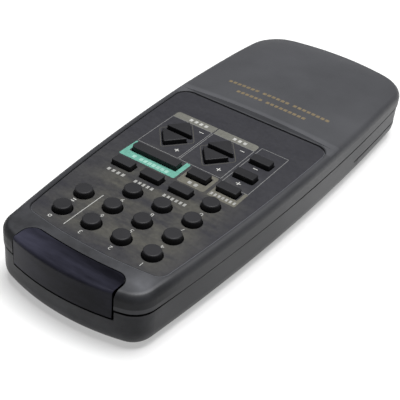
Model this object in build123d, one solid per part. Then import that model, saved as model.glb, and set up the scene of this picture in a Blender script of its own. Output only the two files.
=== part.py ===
from build123d import *
import math
import os

os.makedirs("parts", exist_ok=True)

# A hand-held remote control, lying on its back, in millimetres.
# +Y points to the end that sends the signal, +X to the user's right hand, +Z up.
# The origin is on the surface it lies on, under the middle of its outline.

# Ends of the case. Places along it are written from one end, so they follow its length.
CASE_LENGTH = 166.7
NOSE_Y = CASE_LENGTH / 2
TAIL_Y = -CASE_LENGTH / 2

# Walls of the case and the joint between its shells
PARTING_HEIGHT = 13.4
PARTING_GAP = 0.6
WALL = 2.0
TOP_ROUND = 2.4
BOTTOM_ROUND = 5.5
LOWER_INSET = 0.25
TONGUE_DEPTH = 1.1
TONGUE_HEIGHT = 1.2
TONGUE_CLEARANCE = 0.15

# Two AA cells lie across the case, one behind the other
CELL_DIAMETER = 14.5
CELL_LENGTH = 50.5
CELL_BUTTON = 5.5
CELL_BUTTON_HEIGHT = 1.5
CELL_EDGE = 0.8
CELL_CLEARANCE = 0.3
CELL_SPACING = 0.4
SPRING_LENGTH = 3.6
SPRING_WIRE = 0.6
SPRING_DIAMETER = 8.0
SPRING_TIP_DIAMETER = 5.4
SPRING_TURNS = 2.5
TERMINAL_THICKNESS = 0.4
TERMINAL_WIDTH = 9.0
TERMINAL_HEIGHT = 7.5
TAIL_WIDTH = 1.4
TAIL_CLEARANCE = 0.2
TAIL_SLOT = 0.8
BAY_WALL = 1.1
BAY_WALL_BOTTOM = 3.6
BAY_ROOF = 1.0

# Battery door, which slides off towards the tail
DOOR_Y = TAIL_Y + 44.5
DOOR_HEIGHT = 7.0
DOOR_WALL = 1.6
DOOR_GAP = 0.3
RAIL_THICKNESS = 1.0
RAIL_REACH = 0.9
RAIL_BOTTOM = 3.9
RAIL_LENGTH = 22.0
DOOR_RAIL_LENGTH = 18.0
GRIP_START = 6.0
GRIP_COUNT = 5
GRIP_PITCH = 2.2
GRIP_DEPTH = 0.5
GRIP_HALF_LENGTH = 9.0

# The flat rim stands on what lies below it: door, cell, roof of the bay and top wall
ROOF_ROOM = 0.3
RIM_HEIGHT = DOOR_WALL + CELL_DIAMETER + 2 * CELL_CLEARANCE + BAY_ROOF + ROOF_ROOM + WALL

# Outline of the case, seen from above: four arcs with rounded corners.
# It is wide enough for the cells, their contacts, the door's rails and its wall.
BAY_HALF_LENGTH = (CELL_LENGTH + SPRING_LENGTH) / 2 + TERMINAL_THICKNESS
RAIL_OUTSIDE = BAY_HALF_LENGTH + BAY_WALL + RAIL_REACH
SIDE_ROOM = 1.4
CASE_HALF_WIDTH = RAIL_OUTSIDE + SIDE_ROOM + DOOR_WALL + LOWER_INSET
CASE_WIDEST_Y = TAIL_Y + 59.0
CASE_SIDE_RADIUS = 825.0
NOSE_RADIUS = 73.5
NOSE_CORNER = 8.3
TAIL_RADIUS = 87.0
TAIL_CORNER = 13.2

# The raised back behind the key panel, and the leaning step in front of it
STEP_Y = TAIL_Y + 64.2
STEP_LEAN = 0.7
CROWN_RISE = 1.15
CROWN_HALF_WIDTH = CASE_HALF_WIDTH - 2.0
SHOULDER_DROP = 2.2
TAIL_DROP = 2.7

# The key panel, a plate let into the top of the case
PANEL_FRONT_Y = NOSE_Y - 13.3
PANEL_FRONT_RADIUS = 137.0
PANEL_FRONT_CORNER = 3.7
PANEL_REAR_CORNER = 4.6
PANEL_THICKNESS = 0.7
PANEL_RECESS = 1.0
PANEL_CLEARANCE = 0.2
PANEL_REAR_GAP = 0.6
PANEL_EDGE = 0.25
RECESS_LIP = 0.25
RIM_FLAT = 0.15

# The dark window over the light sources, with a harder edge than the case
WINDOW_HALF_WIDTH = 18.0
WINDOW_REAR_Y = NOSE_Y - 9.2
WINDOW_REAR_RADIUS = 137.0
WINDOW_BOTTOM = 10.1
WINDOW_CORNER = 3.8
WINDOW_RISE = 0.25
WINDOW_EDGE = 1.0
WINDOW_RIM = 0.2
WINDOW_THICKNESS = 1.2
WINDOW_GAP = 0.3
WINDOW_LEDGE = 1.0

# The grid of keys: the first row is nearest the window
COLUMN_PITCH = 11.0
ROW_PITCH = 9.74
FIRST_ROW_Y = NOSE_Y - 21.7
KEY_TRAVEL = 1.0
KEY_GAP = 0.3
KEY_TAPER = 1.0
KEY_EDGE = 0.25
FLANGE_MARGIN = 0.95
FLANGE_THICKNESS = 0.9
FLANGE_CLEARANCE = 0.05
PLUNGER_DIAMETER = 3.4
ROUND_KEY_DIAMETER = 6.0
ROUND_KEY_PROUD = 2.0
ROUND_KEY_TAPER = 4.0
ROUND_KEY_EDGE = 0.45
BAR_KEY_WIDTH = 7.5
BAR_KEY_DEPTH = 3.8
BAR_KEY_CORNER = 0.5
BAR_KEY_PROUD = 1.8
WIDE_KEY_WIDTH = 17.9
WIDE_KEY_END = 1.8
WIDE_KEY_X = 11.2
ARROW_BASE = 10.7
ARROW_HEIGHT = 6.5
ARROW_CORNER = 0.4
ARROW_PROUD = 1.6
ARROW_FLANGE_MARGIN = 0.7
ARROW_SPLIT = 2.1
ARROW_CENTRE_Y = FIRST_ROW_Y - 54.1
VOLUME_X = -2.5
PROGRAMME_X = 13.9

# Circuit board, contact pads and rubber mat under the keys
KEY_ROOM = 3.0
BOARD_THICKNESS = 1.6
BOARD_CLEARANCE = 0.6
BOARD_FRONT_Y = NOSE_Y - 11.0
PAD_DIAMETER = 4.4
PAD_THICKNESS = 0.05
PLUNGER_CLEARANCE = 0.1
MAT_THICKNESS = 0.6
MAT_HOLE_CLEARANCE = 0.9
MAT_MARGIN = 5.5
MAT_CORNER = 2.0
POST_DIAMETER = 4.0
POST_X = CASE_HALF_WIDTH - 8.1
POST_YS = (FIRST_ROW_Y - 24.0, FIRST_ROW_Y - 52.0, STEP_Y - 4.2)

# Screws and the bosses that they bite into
SCREW_SHANK = 2.4
SCREW_HEAD = 5.2
SCREW_HEAD_HEIGHT = 1.6
SCREW_SLOT_LENGTH = 3.0
SCREW_SLOT_WIDTH = 0.6
SCREW_BITE = 7.0
BORE_CLEARANCE = 0.1
HOLE_CLEARANCE = 0.5
UPPER_BOSS = 5.6
LOWER_BOSS = 8.0
COUNTERBORE = 6.0
COUNTERBORE_DEPTH = 3.0
LOWER_BOSS_FOOT = 1.5
LOWER_BOSS_TOP = 6.0
FRONT_SCREW_X = 2 * COLUMN_PITCH
FRONT_SCREW_Y = FIRST_ROW_Y - ROW_PITCH / 2
REAR_SCREW_X = 13.0
REAR_SCREW_Y = TAIL_Y + 7.0

# Parts under the board
CHIP_LENGTH = 25.4
CHIP_WIDTH = 7.4
CHIP_HEIGHT = 3.4
CHIP_STANDOFF = 0.5
CHIP_Y = FIRST_ROW_Y - 38.0
CHIP_EDGE = 0.4
CHIP_NOTCH = 2.0
LEG_COUNT = 10
LEG_PITCH = 2.54
LEG_WIDTH = 0.5
LEG_THICKNESS = 0.25
LEG_SPREAD = 0.9
CAPACITOR_DIAMETER = 6.3
CAPACITOR_LENGTH = 11.0
CRIMP_PLACE = 2.0
CRIMP_WIDTH = 0.8
CRIMP_DEPTH = 0.35
CAPACITOR_PLACE = (12.0, FIRST_ROW_Y - 74.0)
RESONATOR_SIZE = (7.4, 3.0, 5.0)
RESONATOR_CORNER = 1.2
RESONATOR_PLACE = (-14.0, FIRST_ROW_Y - 22.0)
TRANSISTOR_DIAMETER = 4.6
TRANSISTOR_FLAT = 1.1
TRANSISTOR_HEIGHT = 4.6
TRANSISTOR_PLACE = (9.0, FIRST_ROW_Y)
RESISTOR_DIAMETER = 2.3
RESISTOR_LENGTH = 6.2
RESISTOR_LEAD = 0.6
RESISTOR_BEND = 0.8
RESISTOR_SPAN = 10.0
RESISTOR_STANDOFF = 0.3
RESISTOR_PITCH = 5.0
RESISTOR_COUNT = 4
RESISTOR_PLACE = (-14.0, FIRST_ROW_Y - 58.0)
LED_DIAMETER = 5.0
LED_FLANGE = 5.6
LED_FLANGE_HEIGHT = 1.0
LED_LENGTH = 8.2
LED_X = 7.0
LED_CLEARANCE = 0.7
LED_LEAD = 0.5
LED_LEAD_SPACING = 2.54
LED_LEAD_LENGTH = 4.8

# Heights and places that follow from the values above
BEYOND = 10.0
UPPER_BOTTOM = PARTING_HEIGHT + PARTING_GAP / 2
LOWER_TOP = PARTING_HEIGHT - PARTING_GAP / 2
RECESS_FLOOR = RIM_HEIGHT - PANEL_RECESS
PANEL_TOP = RECESS_FLOOR + PANEL_THICKNESS
PANEL_STRIP = TOP_ROUND + RIM_FLAT + RECESS_LIP + PANEL_CLEARANCE
CEILING = RIM_HEIGHT - WALL
POST_ROOT = CEILING + WALL / 2
BOARD_TOP = CEILING - KEY_ROOM
BOARD_BOTTOM = BOARD_TOP - BOARD_THICKNESS
FLANGE_TOP = CEILING - FLANGE_CLEARANCE
FLANGE_BOTTOM = FLANGE_TOP - FLANGE_THICKNESS
PLUNGER_BOTTOM = BOARD_TOP + PAD_THICKNESS + KEY_TRAVEL + PLUNGER_CLEARANCE
DOOR_SEAM = DOOR_HEIGHT + DOOR_GAP
CELL_Z = DOOR_WALL + CELL_CLEARANCE + CELL_DIAMETER / 2
TERMINAL_LOW = CELL_Z - TERMINAL_HEIGHT / 2
TERMINAL_HIGH = CELL_Z + TERMINAL_HEIGHT / 2
BAY_FRONT_Y = DOOR_Y
FRONT_CELL_Y = BAY_FRONT_Y - CELL_CLEARANCE - CELL_DIAMETER / 2
REAR_CELL_Y = FRONT_CELL_Y - CELL_DIAMETER - CELL_SPACING
BAY_REAR_Y = REAR_CELL_Y - CELL_DIAMETER / 2 - CELL_CLEARANCE
BAY_CEILING = CELL_Z + CELL_DIAMETER / 2 + CELL_CLEARANCE
BOARD_REAR_Y = BAY_FRONT_Y + BAY_WALL + BOARD_CLEARANCE
WEB_BOTTOM = DOOR_SEAM + DOOR_GAP
WEB_TOP = WEB_BOTTOM + DOOR_WALL
FRONT_TAIL_Z = BOARD_BOTTOM
REAR_TAIL_Z = FRONT_TAIL_Z + TAIL_WIDTH + TAIL_CLEARANCE


def block(x0, x1, y0, y1, z0, z1):
    """A box between two corners."""
    middle = ((x0 + x1) / 2, (y0 + y1) / 2, (z0 + z1) / 2)
    return Pos(*middle) * Box(abs(x1 - x0), abs(y1 - y0), abs(z1 - z0))


def rod(diameter, x, y, z0, z1):
    """An upright cylinder between two heights."""
    return Pos(x, y, (z0 + z1) / 2) * Cylinder(diameter / 2, z1 - z0)


def prism(face, z0, z1):
    """A flat outline pulled up between two heights."""
    return extrude(Pos(0, 0, z0) * face, z1 - z0)


def fused(solids):
    """Several solids joined to one."""
    first, *rest = solids
    return first.fuse(*rest) if rest else first


# Outlines

def end_corner(end, way, side_x, side_y, side_radius):
    """Where an end, at +Y or -Y, meets the arc of the right side. The end is its Y and its radius."""
    tip, radius = end
    if radius is None:
        return side_x + math.sqrt(side_radius ** 2 - (tip - side_y) ** 2), tip
    centre_y = tip - way * radius
    towards_x = side_x
    towards_y = side_y - centre_y
    distance = math.hypot(towards_x, towards_y)
    along = (radius ** 2 - side_radius ** 2 + distance ** 2) / (2 * distance)
    across = math.sqrt(radius ** 2 - along ** 2)
    unit_x = towards_x / distance
    unit_y = towards_y / distance
    corners = []
    for turn in (1, -1):
        x = unit_x * along - turn * unit_y * across
        y = centre_y + unit_y * along + turn * unit_x * across
        corners.append((x, y))
    return max(corners, key=lambda corner: way * corner[1])


def bowed_outline(inset, nose, tail, rounds):
    """An outline with bowed sides. Each end is its Y and its radius, or None for a straight end."""
    side_radius = CASE_SIDE_RADIUS - inset
    side_x = CASE_HALF_WIDTH - CASE_SIDE_RADIUS
    front = end_corner(nose, 1, side_x, CASE_WIDEST_Y, side_radius)
    rear = end_corner(tail, -1, side_x, CASE_WIDEST_Y, side_radius)
    middle_y = (front[1] + rear[1]) / 2
    middle_x = side_x + math.sqrt(side_radius ** 2 - (middle_y - CASE_WIDEST_Y) ** 2)
    right = ThreePointArc(front, (middle_x, middle_y), rear)
    lines = [right, mirror(right, Plane.YZ)]
    for corner, (tip, radius) in ((front, nose), (rear, tail)):
        opposite = (-corner[0], corner[1])
        if radius is None:
            lines.append(Line(opposite, corner))
        else:
            lines.append(ThreePointArc(opposite, (0, tip), corner))
    face = make_face(lines)
    face = fillet(face.vertices().sort_by(Axis.Y)[-2:], rounds[0])
    return fillet(face.vertices().sort_by(Axis.Y)[:2], rounds[1])


def case_outline(inset=0.0):
    """The outline of the case, drawn in by an even distance."""
    nose = (NOSE_Y - inset, NOSE_RADIUS - inset)
    tail = (TAIL_Y + inset, TAIL_RADIUS - inset)
    return bowed_outline(inset, nose, tail, (NOSE_CORNER - inset, TAIL_CORNER - inset))


def panel_outline(grow=0.0, rear_gap=PANEL_REAR_GAP):
    """The outline of the key panel, or of the recess that it lies in."""
    nose = (PANEL_FRONT_Y + grow, PANEL_FRONT_RADIUS + grow)
    tail = (STEP_Y + rear_gap, None)
    corners = (PANEL_FRONT_CORNER + grow, PANEL_REAR_CORNER + grow)
    return bowed_outline(PANEL_STRIP - grow, nose, tail, corners)


# Outer forms of the two shells

def crown_section(y, inset):
    """The arched top of the back at one place along it."""
    along = (STEP_Y - y) / (STEP_Y - TAIL_Y)
    shoulder = SHOULDER_DROP * max(along, 0.0)
    drop = TAIL_DROP * max(along, 0.0) ** 6
    reach = CASE_HALF_WIDTH + BEYOND / 2
    count = 10
    top = []
    for i in range(count + 1):
        x = reach * (2 * i / count - 1)
        arch = CROWN_RISE * (1 - (x / CROWN_HALF_WIDTH) ** 2)
        soft = shoulder * min(abs(x) / CASE_HALF_WIDTH, 1.0) ** 8
        top.append((x, y, RIM_HEIGHT - inset + arch - soft - drop))
    foot = -BEYOND
    arch_line = Spline(top)
    frame = Polyline(top[-1], (reach, y, foot), (-reach, y, foot), top[0])
    return make_face([arch_line, frame])


def nose_form(inset, floor):
    """The front of the upper form alone, ahead of the raised back, from any height."""
    top = RIM_HEIGHT - inset
    step = STEP_Y - inset
    side = CASE_HALF_WIDTH + BEYOND
    body = prism(case_outline(inset), floor, RIM_HEIGHT + BEYOND)
    front = body & block(-side, side, step, NOSE_Y + BEYOND, floor - 1, top)
    edges = [
        edge for edge in front.edges()
        if abs(edge.center().Z - top) < 0.01 and edge.center().Y > step + 0.5
    ]
    return fillet(edges, TOP_ROUND - inset)


def back_form(inset, floor):
    """The raised back alone, with its arched top falling away to the sides and the tail."""
    step = STEP_Y - inset
    top = RIM_HEIGHT - inset
    body = prism(case_outline(inset), floor, RIM_HEIGHT + BEYOND)
    parts_of_back = (0.25, 0.5, 0.7, 0.85, 1.06)
    places = [step + 2.0] + [STEP_Y + part * (TAIL_Y - STEP_Y) for part in parts_of_back]
    crown = loft([crown_section(y, inset) for y in places])
    profile = Polyline(
        (step, floor - 1), (step, top), (step - RECESS_LIP, top),
        (step - RECESS_LIP - STEP_LEAN * BEYOND, top + BEYOND),
        (TAIL_Y - BEYOND, top + BEYOND), (TAIL_Y - BEYOND, floor - 1), close=True,
    )
    reach = CASE_HALF_WIDTH + BEYOND
    behind_step = extrude(Plane.YZ.offset(-reach) * make_face(profile), 2 * reach)
    rear = body & crown & behind_step
    edges = []
    for edge in rear.edges():
        box = edge.bounding_box()
        upright = box.size.X < 0.01 and box.size.Y < 0.01
        on_step = box.min.Y > step - RECESS_LIP - STEP_LEAN * (CROWN_RISE + RECESS_LIP)
        if box.min.Z > floor + 0.5 and not upright and not on_step:
            edges.append(edge)
    return fillet(edges, TOP_ROUND - inset)


def upper_form(inset, floor):
    """The outer form of the upper shell above a height, drawn in by an even distance."""
    return nose_form(inset, floor) + back_form(inset, floor)


def lower_form(inset, top):
    """The outer form of the lower shell up to a height, drawn in by an even distance."""
    body = prism(case_outline(inset + LOWER_INSET), inset, top)
    edges = [edge for edge in body.edges() if abs(edge.center().Z - inset) < 0.01]
    return fillet(edges, BOTTOM_ROUND - inset)


# Keys: each is a name, a kind and a place on the grid

def column_x(column):
    """The X of a column, counted from the user's left."""
    return (column - 1.5) * COLUMN_PITCH


def row_y(row):
    """The Y of a row, counted from the window."""
    return FIRST_ROW_Y - row * ROW_PITCH


def grid_keys():
    """Every key as name, kind, x and y."""
    rounds = [("key_0", 3, 0), ("key_info", 0, 3), ("key_swap", 1, 3)]
    for row in range(3):
        for column in range(3):
            rounds.append(("key_%d" % (3 * row + column + 1), row, column))
    bars = [
        ("key_recall", 3, 1), ("key_timer", 3, 2), ("key_mute", 3, 3),
        ("key_picture", 4, 0), ("key_source", 4, 1),
        ("key_picture_up", 5, 0), ("key_picture_down", 6, 0),
    ]
    keys = [(name, "round", column_x(column), row_y(row)) for name, row, column in rounds]
    keys += [(name, "bar", column_x(column), row_y(row)) for name, row, column in bars]
    keys.append(("key_standby", "wide", WIDE_KEY_X, row_y(4)))
    arrow_reach = (ARROW_SPLIT + ARROW_HEIGHT) / 2
    for name, x in (("key_volume", VOLUME_X), ("key_programme", PROGRAMME_X)):
        keys.append((name + "_up", "arrow_up", x, ARROW_CENTRE_Y + arrow_reach))
        keys.append((name + "_down", "arrow_down", x, ARROW_CENTRE_Y - arrow_reach))
    return keys


def key_face(kind, grow=0.0):
    """The outline of a key of one kind, or of the hole or flange round it."""
    if kind == "round":
        return make_face([CenterArc((0, 0), ROUND_KEY_DIAMETER / 2 + grow, 0, 360)])
    if kind in ("bar", "wide"):
        width = BAR_KEY_WIDTH if kind == "bar" else WIDE_KEY_WIDTH
        face = make_face(Rectangle(width + 2 * grow, BAR_KEY_DEPTH + 2 * grow).wire())
        if kind == "bar":
            return fillet(face.vertices(), BAR_KEY_CORNER + grow)
        face = fillet(face.vertices().sort_by(Axis.X)[-2:], WIDE_KEY_END + grow)
        return fillet(face.vertices().sort_by(Axis.X)[:2], BAR_KEY_CORNER + grow)
    way = 1 if kind == "arrow_up" else -1
    half_base = ARROW_BASE / 2
    slant = math.hypot(half_base, ARROW_HEIGHT)
    side_shift = grow * (slant + half_base) / ARROW_HEIGHT
    tip_shift = grow * slant / half_base
    base_y = -way * (ARROW_HEIGHT / 2 + grow)
    tip_y = way * (ARROW_HEIGHT / 2 + tip_shift)
    base_x = half_base + side_shift
    base = ((-way * base_x, base_y), (way * base_x, base_y))
    face = make_face(Polyline(*base, (0, tip_y), close=True))
    return fillet(face.vertices(), ARROW_CORNER + grow)


def cap_style(kind):
    """How far a cap stands above the panel, its draft in degrees and the rounding of its edge."""
    if kind == "round":
        return ROUND_KEY_PROUD, ROUND_KEY_TAPER, ROUND_KEY_EDGE
    if kind in ("bar", "wide"):
        return BAR_KEY_PROUD, KEY_TAPER, KEY_EDGE
    return ARROW_PROUD, KEY_TAPER, KEY_EDGE


def key(kind, x, y):
    """One key: cap with an eased edge, flange under the case and plunger over its contact pad."""
    proud, taper, edge = cap_style(kind)
    height = PANEL_TOP + proud - FLANGE_TOP
    cap = extrude(Pos(0, 0, FLANGE_TOP) * key_face(kind), height, taper=taper)
    cap = fillet(cap.faces().sort_by(Axis.Z)[-1].edges(), edge)
    margin = ARROW_FLANGE_MARGIN if kind.startswith("arrow") else FLANGE_MARGIN
    flange = prism(key_face(kind, margin), FLANGE_BOTTOM, FLANGE_TOP)
    plunger = rod(PLUNGER_DIAMETER, 0, 0, PLUNGER_BOTTOM, FLANGE_BOTTOM)
    return Pos(x, y, 0) * fused([cap, flange, plunger])


def key_holes(keys, gap, z0, z1):
    """Cutters for all the key holes through a plate."""
    return [Pos(x, y, 0) * prism(key_face(kind, gap), z0, z1) for name, kind, x, y in keys]


# The window and the hole that it fills

def window_region(grow, bottom):
    """A tall block over the window's outline, whose rear edge is curved like the panel's front."""
    half = WINDOW_HALF_WIDTH + grow
    radius = WINDOW_REAR_RADIUS - grow
    rear = WINDOW_REAR_Y - grow
    corner = rear - radius + math.sqrt(radius ** 2 - half ** 2)
    front = NOSE_Y + BEYOND
    frame = Polyline((half, corner), (half, front), (-half, front), (-half, corner))
    face = make_face([frame, ThreePointArc((-half, corner), (0, rear), (half, corner))])
    face = fillet(face.vertices().sort_by(Axis.Y)[:2], WINDOW_CORNER + grow)
    return prism(face, bottom, RIM_HEIGHT + BEYOND)


def window():
    """A thin dark window that wraps from the top face down over the nose."""
    top = RIM_HEIGHT + WINDOW_RISE
    outer = prism(case_outline(), WINDOW_BOTTOM, top)
    outer = fillet(outer.faces().sort_by(Axis.Z)[-1].edges(), WINDOW_EDGE)
    skin = outer - nose_form(WINDOW_THICKNESS, WINDOW_BOTTOM - 1)
    skin = skin & window_region(0.0, WINDOW_BOTTOM)
    rim = [
        edge for edge in skin.faces().sort_by(Axis.Z)[-1].edges()
        if edge.center().Y < NOSE_Y - NOSE_CORNER / 2
    ]
    return chamfer(rim, WINDOW_RIM)


def window_cutters():
    """What the shells lose to the window: a ledge all round and an opening behind it."""
    seat = window_region(WINDOW_GAP, WINDOW_BOTTOM - WINDOW_GAP)
    seat = seat - nose_form(WINDOW_THICKNESS + FLANGE_CLEARANCE, -1.0)
    opening = window_region(-WINDOW_LEDGE, WINDOW_BOTTOM + WINDOW_LEDGE)
    return [seat, opening]


# Screws, bosses and posts

def screw_places():
    """X, Y and the height under each screw head."""
    front = [(side * FRONT_SCREW_X, FRONT_SCREW_Y, COUNTERBORE_DEPTH) for side in (-1, 1)]
    rear = [(side * REAR_SCREW_X, REAR_SCREW_Y, WEB_BOTTOM) for side in (-1, 1)]
    return front + rear


def boss_seat(seat):
    """The height where the upper boss meets the lower one."""
    return LOWER_BOSS_TOP if seat == COUNTERBORE_DEPTH else WEB_TOP


def case_screws():
    """Four self-tapping screws, driven in from below."""
    screws = []
    for x, y, seat in screw_places():
        tip = boss_seat(seat) + SCREW_BITE
        head = rod(SCREW_HEAD, x, y, seat - SCREW_HEAD_HEIGHT, seat)
        head = chamfer(head.faces().sort_by(Axis.Z)[0].edges(), SCREW_HEAD_HEIGHT / 4)
        slot = Pos(0, 0, seat - SCREW_HEAD_HEIGHT) * Box(
            SCREW_SLOT_LENGTH, SCREW_SLOT_WIDTH, SCREW_HEAD_HEIGHT
        )
        for turn in (0, 90):
            head = head - Pos(x, y, 0) * Rot(0, 0, turn) * slot
        shank = rod(SCREW_SHANK, x, y, seat, tip)
        shank = chamfer(shank.faces().sort_by(Axis.Z)[-1].edges(), SCREW_SHANK / 4)
        screws.append(head + shank)
    return screws


def post_places():
    """Where the two shells clamp the circuit board."""
    return [(side * POST_X, y) for side in (-1, 1) for y in POST_YS]


# Shells

def upper_shell(keys):
    """Top of the case, with the panel recess, key holes, bosses and posts."""
    inside = upper_form(WALL, UPPER_BOTTOM - 1)
    shell = upper_form(0.0, UPPER_BOTTOM) - inside
    rebate_inset = TONGUE_DEPTH + LOWER_INSET - TONGUE_CLEARANCE
    rebate_top = UPPER_BOTTOM + TONGUE_HEIGHT + TONGUE_CLEARANCE
    rebate = prism(case_outline(rebate_inset), UPPER_BOTTOM - 1, rebate_top)
    posts = [rod(POST_DIAMETER, x, y, BOARD_TOP, POST_ROOT) for x, y in post_places()]
    bosses = []
    bores = []
    for x, y, seat in screw_places():
        foot = boss_seat(seat)
        bosses.append(rod(UPPER_BOSS, x, y, foot, POST_ROOT))
        bore_top = foot + SCREW_BITE + BORE_CLEARANCE
        bores.append(rod(SCREW_SHANK + 2 * BORE_CLEARANCE, x, y, foot - 1, bore_top))
    shell = (shell - rebate).fuse(*bosses, *posts)
    recess_outline = panel_outline(PANEL_CLEARANCE, 0.0)
    recess = prism(recess_outline, RECESS_FLOOR, RIM_HEIGHT)
    lip = extrude(Pos(0, 0, RIM_HEIGHT - RECESS_LIP) * recess_outline, RECESS_LIP, taper=-45)
    holes = key_holes(keys, KEY_GAP, CEILING - 1, RIM_HEIGHT)
    return shell.cut(recess, lip, *bores, *holes, *window_cutters())


def tongue():
    """The ring that stands up inside the joint between the two shells."""
    top = LOWER_TOP + PARTING_GAP + TONGUE_HEIGHT
    outer = prism(case_outline(TONGUE_DEPTH + LOWER_INSET), PARTING_HEIGHT - 2, top)
    inner = prism(case_outline(WALL + LOWER_INSET), PARTING_HEIGHT - 3, top + 1)
    return outer - inner


def battery_bay():
    """Walls, roof, rails and slots of the space for the cells."""
    side = CASE_HALF_WIDTH + BEYOND
    floor = WALL / 2
    half = BAY_HALF_LENGTH
    outer = half + BAY_WALL
    front = BAY_FRONT_Y + BAY_WALL
    rear = BAY_REAR_Y - BAY_WALL
    top = BAY_CEILING + BAY_ROOF
    low_room = lower_form(WALL / 2, LOWER_TOP)
    room = upper_form(WALL + CELL_CLEARANCE, floor)
    front_wall = block(-side, side, DOOR_Y + DOOR_GAP, front, floor, top)
    rear_wall = block(-side, side, rear, BAY_REAR_Y, WEB_BOTTOM, top)
    web = block(-side, side, TAIL_Y, BAY_REAR_Y, WEB_BOTTOM, WEB_TOP)
    roof = block(-outer, outer, rear, front, BAY_CEILING, top)
    ends = []
    for way in (-1, 1):
        ends.append(block(way * half, way * outer, rear, front, BAY_WALL_BOTTOM, top))
        rail = block(
            way * half, way * RAIL_OUTSIDE, front - RAIL_LENGTH, front,
            RAIL_BOTTOM, RAIL_BOTTOM + RAIL_THICKNESS,
        )
        ends.append(rail)
    walls = front_wall.fuse(rear_wall, web)
    bay = (walls & low_room).fuse(walls & room, roof & room, *[end & room for end in ends])
    slot_bottom = FRONT_TAIL_Z - TAIL_CLEARANCE
    slot = block(half - TAIL_SLOT, half, BAY_FRONT_Y - 1, front + 1, slot_bottom, BAY_CEILING)
    return bay - slot


def lower_shell():
    """Bottom of the case, with the battery bay, screw bosses and board posts."""
    side = CASE_HALF_WIDTH + BEYOND
    shell = lower_form(0.0, LOWER_TOP) - lower_form(WALL, LOWER_TOP + 1)
    shell = shell + tongue()
    shell = shell - block(-side, side, TAIL_Y - BEYOND, DOOR_Y + DOOR_GAP, -1, DOOR_SEAM)
    bosses = []
    bores = []
    for x, y, seat in screw_places():
        bores.append(rod(SCREW_SHANK + HOLE_CLEARANCE, x, y, seat - 1, boss_seat(seat) + 1))
        if seat == COUNTERBORE_DEPTH:
            bosses.append(rod(LOWER_BOSS, x, y, LOWER_BOSS_FOOT, LOWER_BOSS_TOP))
            bores.append(rod(COUNTERBORE, x, y, -1, seat))
    posts = [rod(POST_DIAMETER, x, y, WALL / 2, BOARD_BOTTOM) for x, y in post_places()]
    shell = shell.fuse(battery_bay(), *bosses, *posts)
    return shell.cut(*bores, *window_cutters())


def battery_door():
    """The door: floor, sides and tail wall, with rails inside and grooves for the thumb."""
    side = CASE_HALF_WIDTH + BEYOND
    space = block(-side, side, TAIL_Y - BEYOND, DOOR_Y, -1, DOOR_HEIGHT)
    shell = (lower_form(0.0, LOWER_TOP) - lower_form(DOOR_WALL, LOWER_TOP + 1)) & space
    rail_inside = BAY_HALF_LENGTH + BAY_WALL + DOOR_GAP
    rail_bottom = RAIL_BOTTOM + RAIL_THICKNESS + DOOR_GAP
    rail_front = DOOR_Y - DOOR_WALL
    room = prism(case_outline(LOWER_INSET + DOOR_WALL / 2), 0, DOOR_HEIGHT)
    for way in (-1, 1):
        rail = block(
            way * rail_inside, way * side, rail_front - DOOR_RAIL_LENGTH, rail_front,
            rail_bottom, rail_bottom + RAIL_THICKNESS,
        )
        shell = shell + (rail & room)
    grips = []
    for i in range(GRIP_COUNT):
        y = DOOR_Y - GRIP_START - i * GRIP_PITCH
        reach = GRIP_HALF_LENGTH * (1 - i / (2 * GRIP_COUNT))
        groove = Pos(0, y, 0) * Rot(0, 90, 0) * Cylinder(GRIP_DEPTH, 2 * reach)
        grips.append(groove)
    return shell.cut(*grips)


def face_panel(keys):
    """The printed plate round the keys."""
    plate = prism(panel_outline(), RECESS_FLOOR, PANEL_TOP)
    plate = chamfer(plate.faces().sort_by(Axis.Z)[-1].edges(), PANEL_EDGE)
    return plate.cut(*key_holes(keys, KEY_GAP, RECESS_FLOOR - 1, PANEL_TOP + 1))


# Inside

def boss_notches(z0, z1):
    """Cutters that keep a sheet clear of the front bosses, out to its edge."""
    notches = []
    width = UPPER_BOSS + 2 * BOARD_CLEARANCE
    for x, y, seat in screw_places():
        if seat == COUNTERBORE_DEPTH:
            way = math.copysign(1, x)
            out = block(x, way * CASE_HALF_WIDTH, y - width / 2, y + width / 2, z0, z1)
            notches.append(rod(width, x, y, z0, z1) + out)
    return notches


def keypad_mat(keys):
    """Rubber sheet on the board, with a hole under each key."""
    xs = [x for name, kind, x, y in keys]
    ys = [y for name, kind, x, y in keys]
    sheet = block(
        min(xs) - MAT_MARGIN, max(xs) + MAT_MARGIN, min(ys) - MAT_MARGIN, max(ys) + MAT_MARGIN,
        BOARD_TOP, BOARD_TOP + MAT_THICKNESS,
    )
    sheet = fillet(sheet.edges().filter_by(Axis.Z), MAT_CORNER)
    hole = PLUNGER_DIAMETER + 2 * MAT_HOLE_CLEARANCE
    holes = [rod(hole, x, y, BOARD_TOP - 1, BOARD_TOP + 2) for name, kind, x, y in keys]
    return sheet.cut(*holes, *boss_notches(BOARD_TOP - 1, BOARD_TOP + 2))


def contact_pads(keys):
    """A carbon pad on the board under each key."""
    return [rod(PAD_DIAMETER, x, y, BOARD_TOP, BOARD_TOP + PAD_THICKNESS) for name, kind, x, y in keys]


def circuit_board():
    """Board cut to the inside of the case, notched round the front bosses."""
    side = CASE_HALF_WIDTH
    board = prism(case_outline(WALL + LOWER_INSET + BOARD_CLEARANCE), BOARD_BOTTOM, BOARD_TOP)
    board = board & block(-side, side, BOARD_REAR_Y, BOARD_FRONT_Y, BOARD_BOTTOM, BOARD_TOP)
    return board.cut(*boss_notches(BOARD_BOTTOM - 1, BOARD_TOP + 1))


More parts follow.
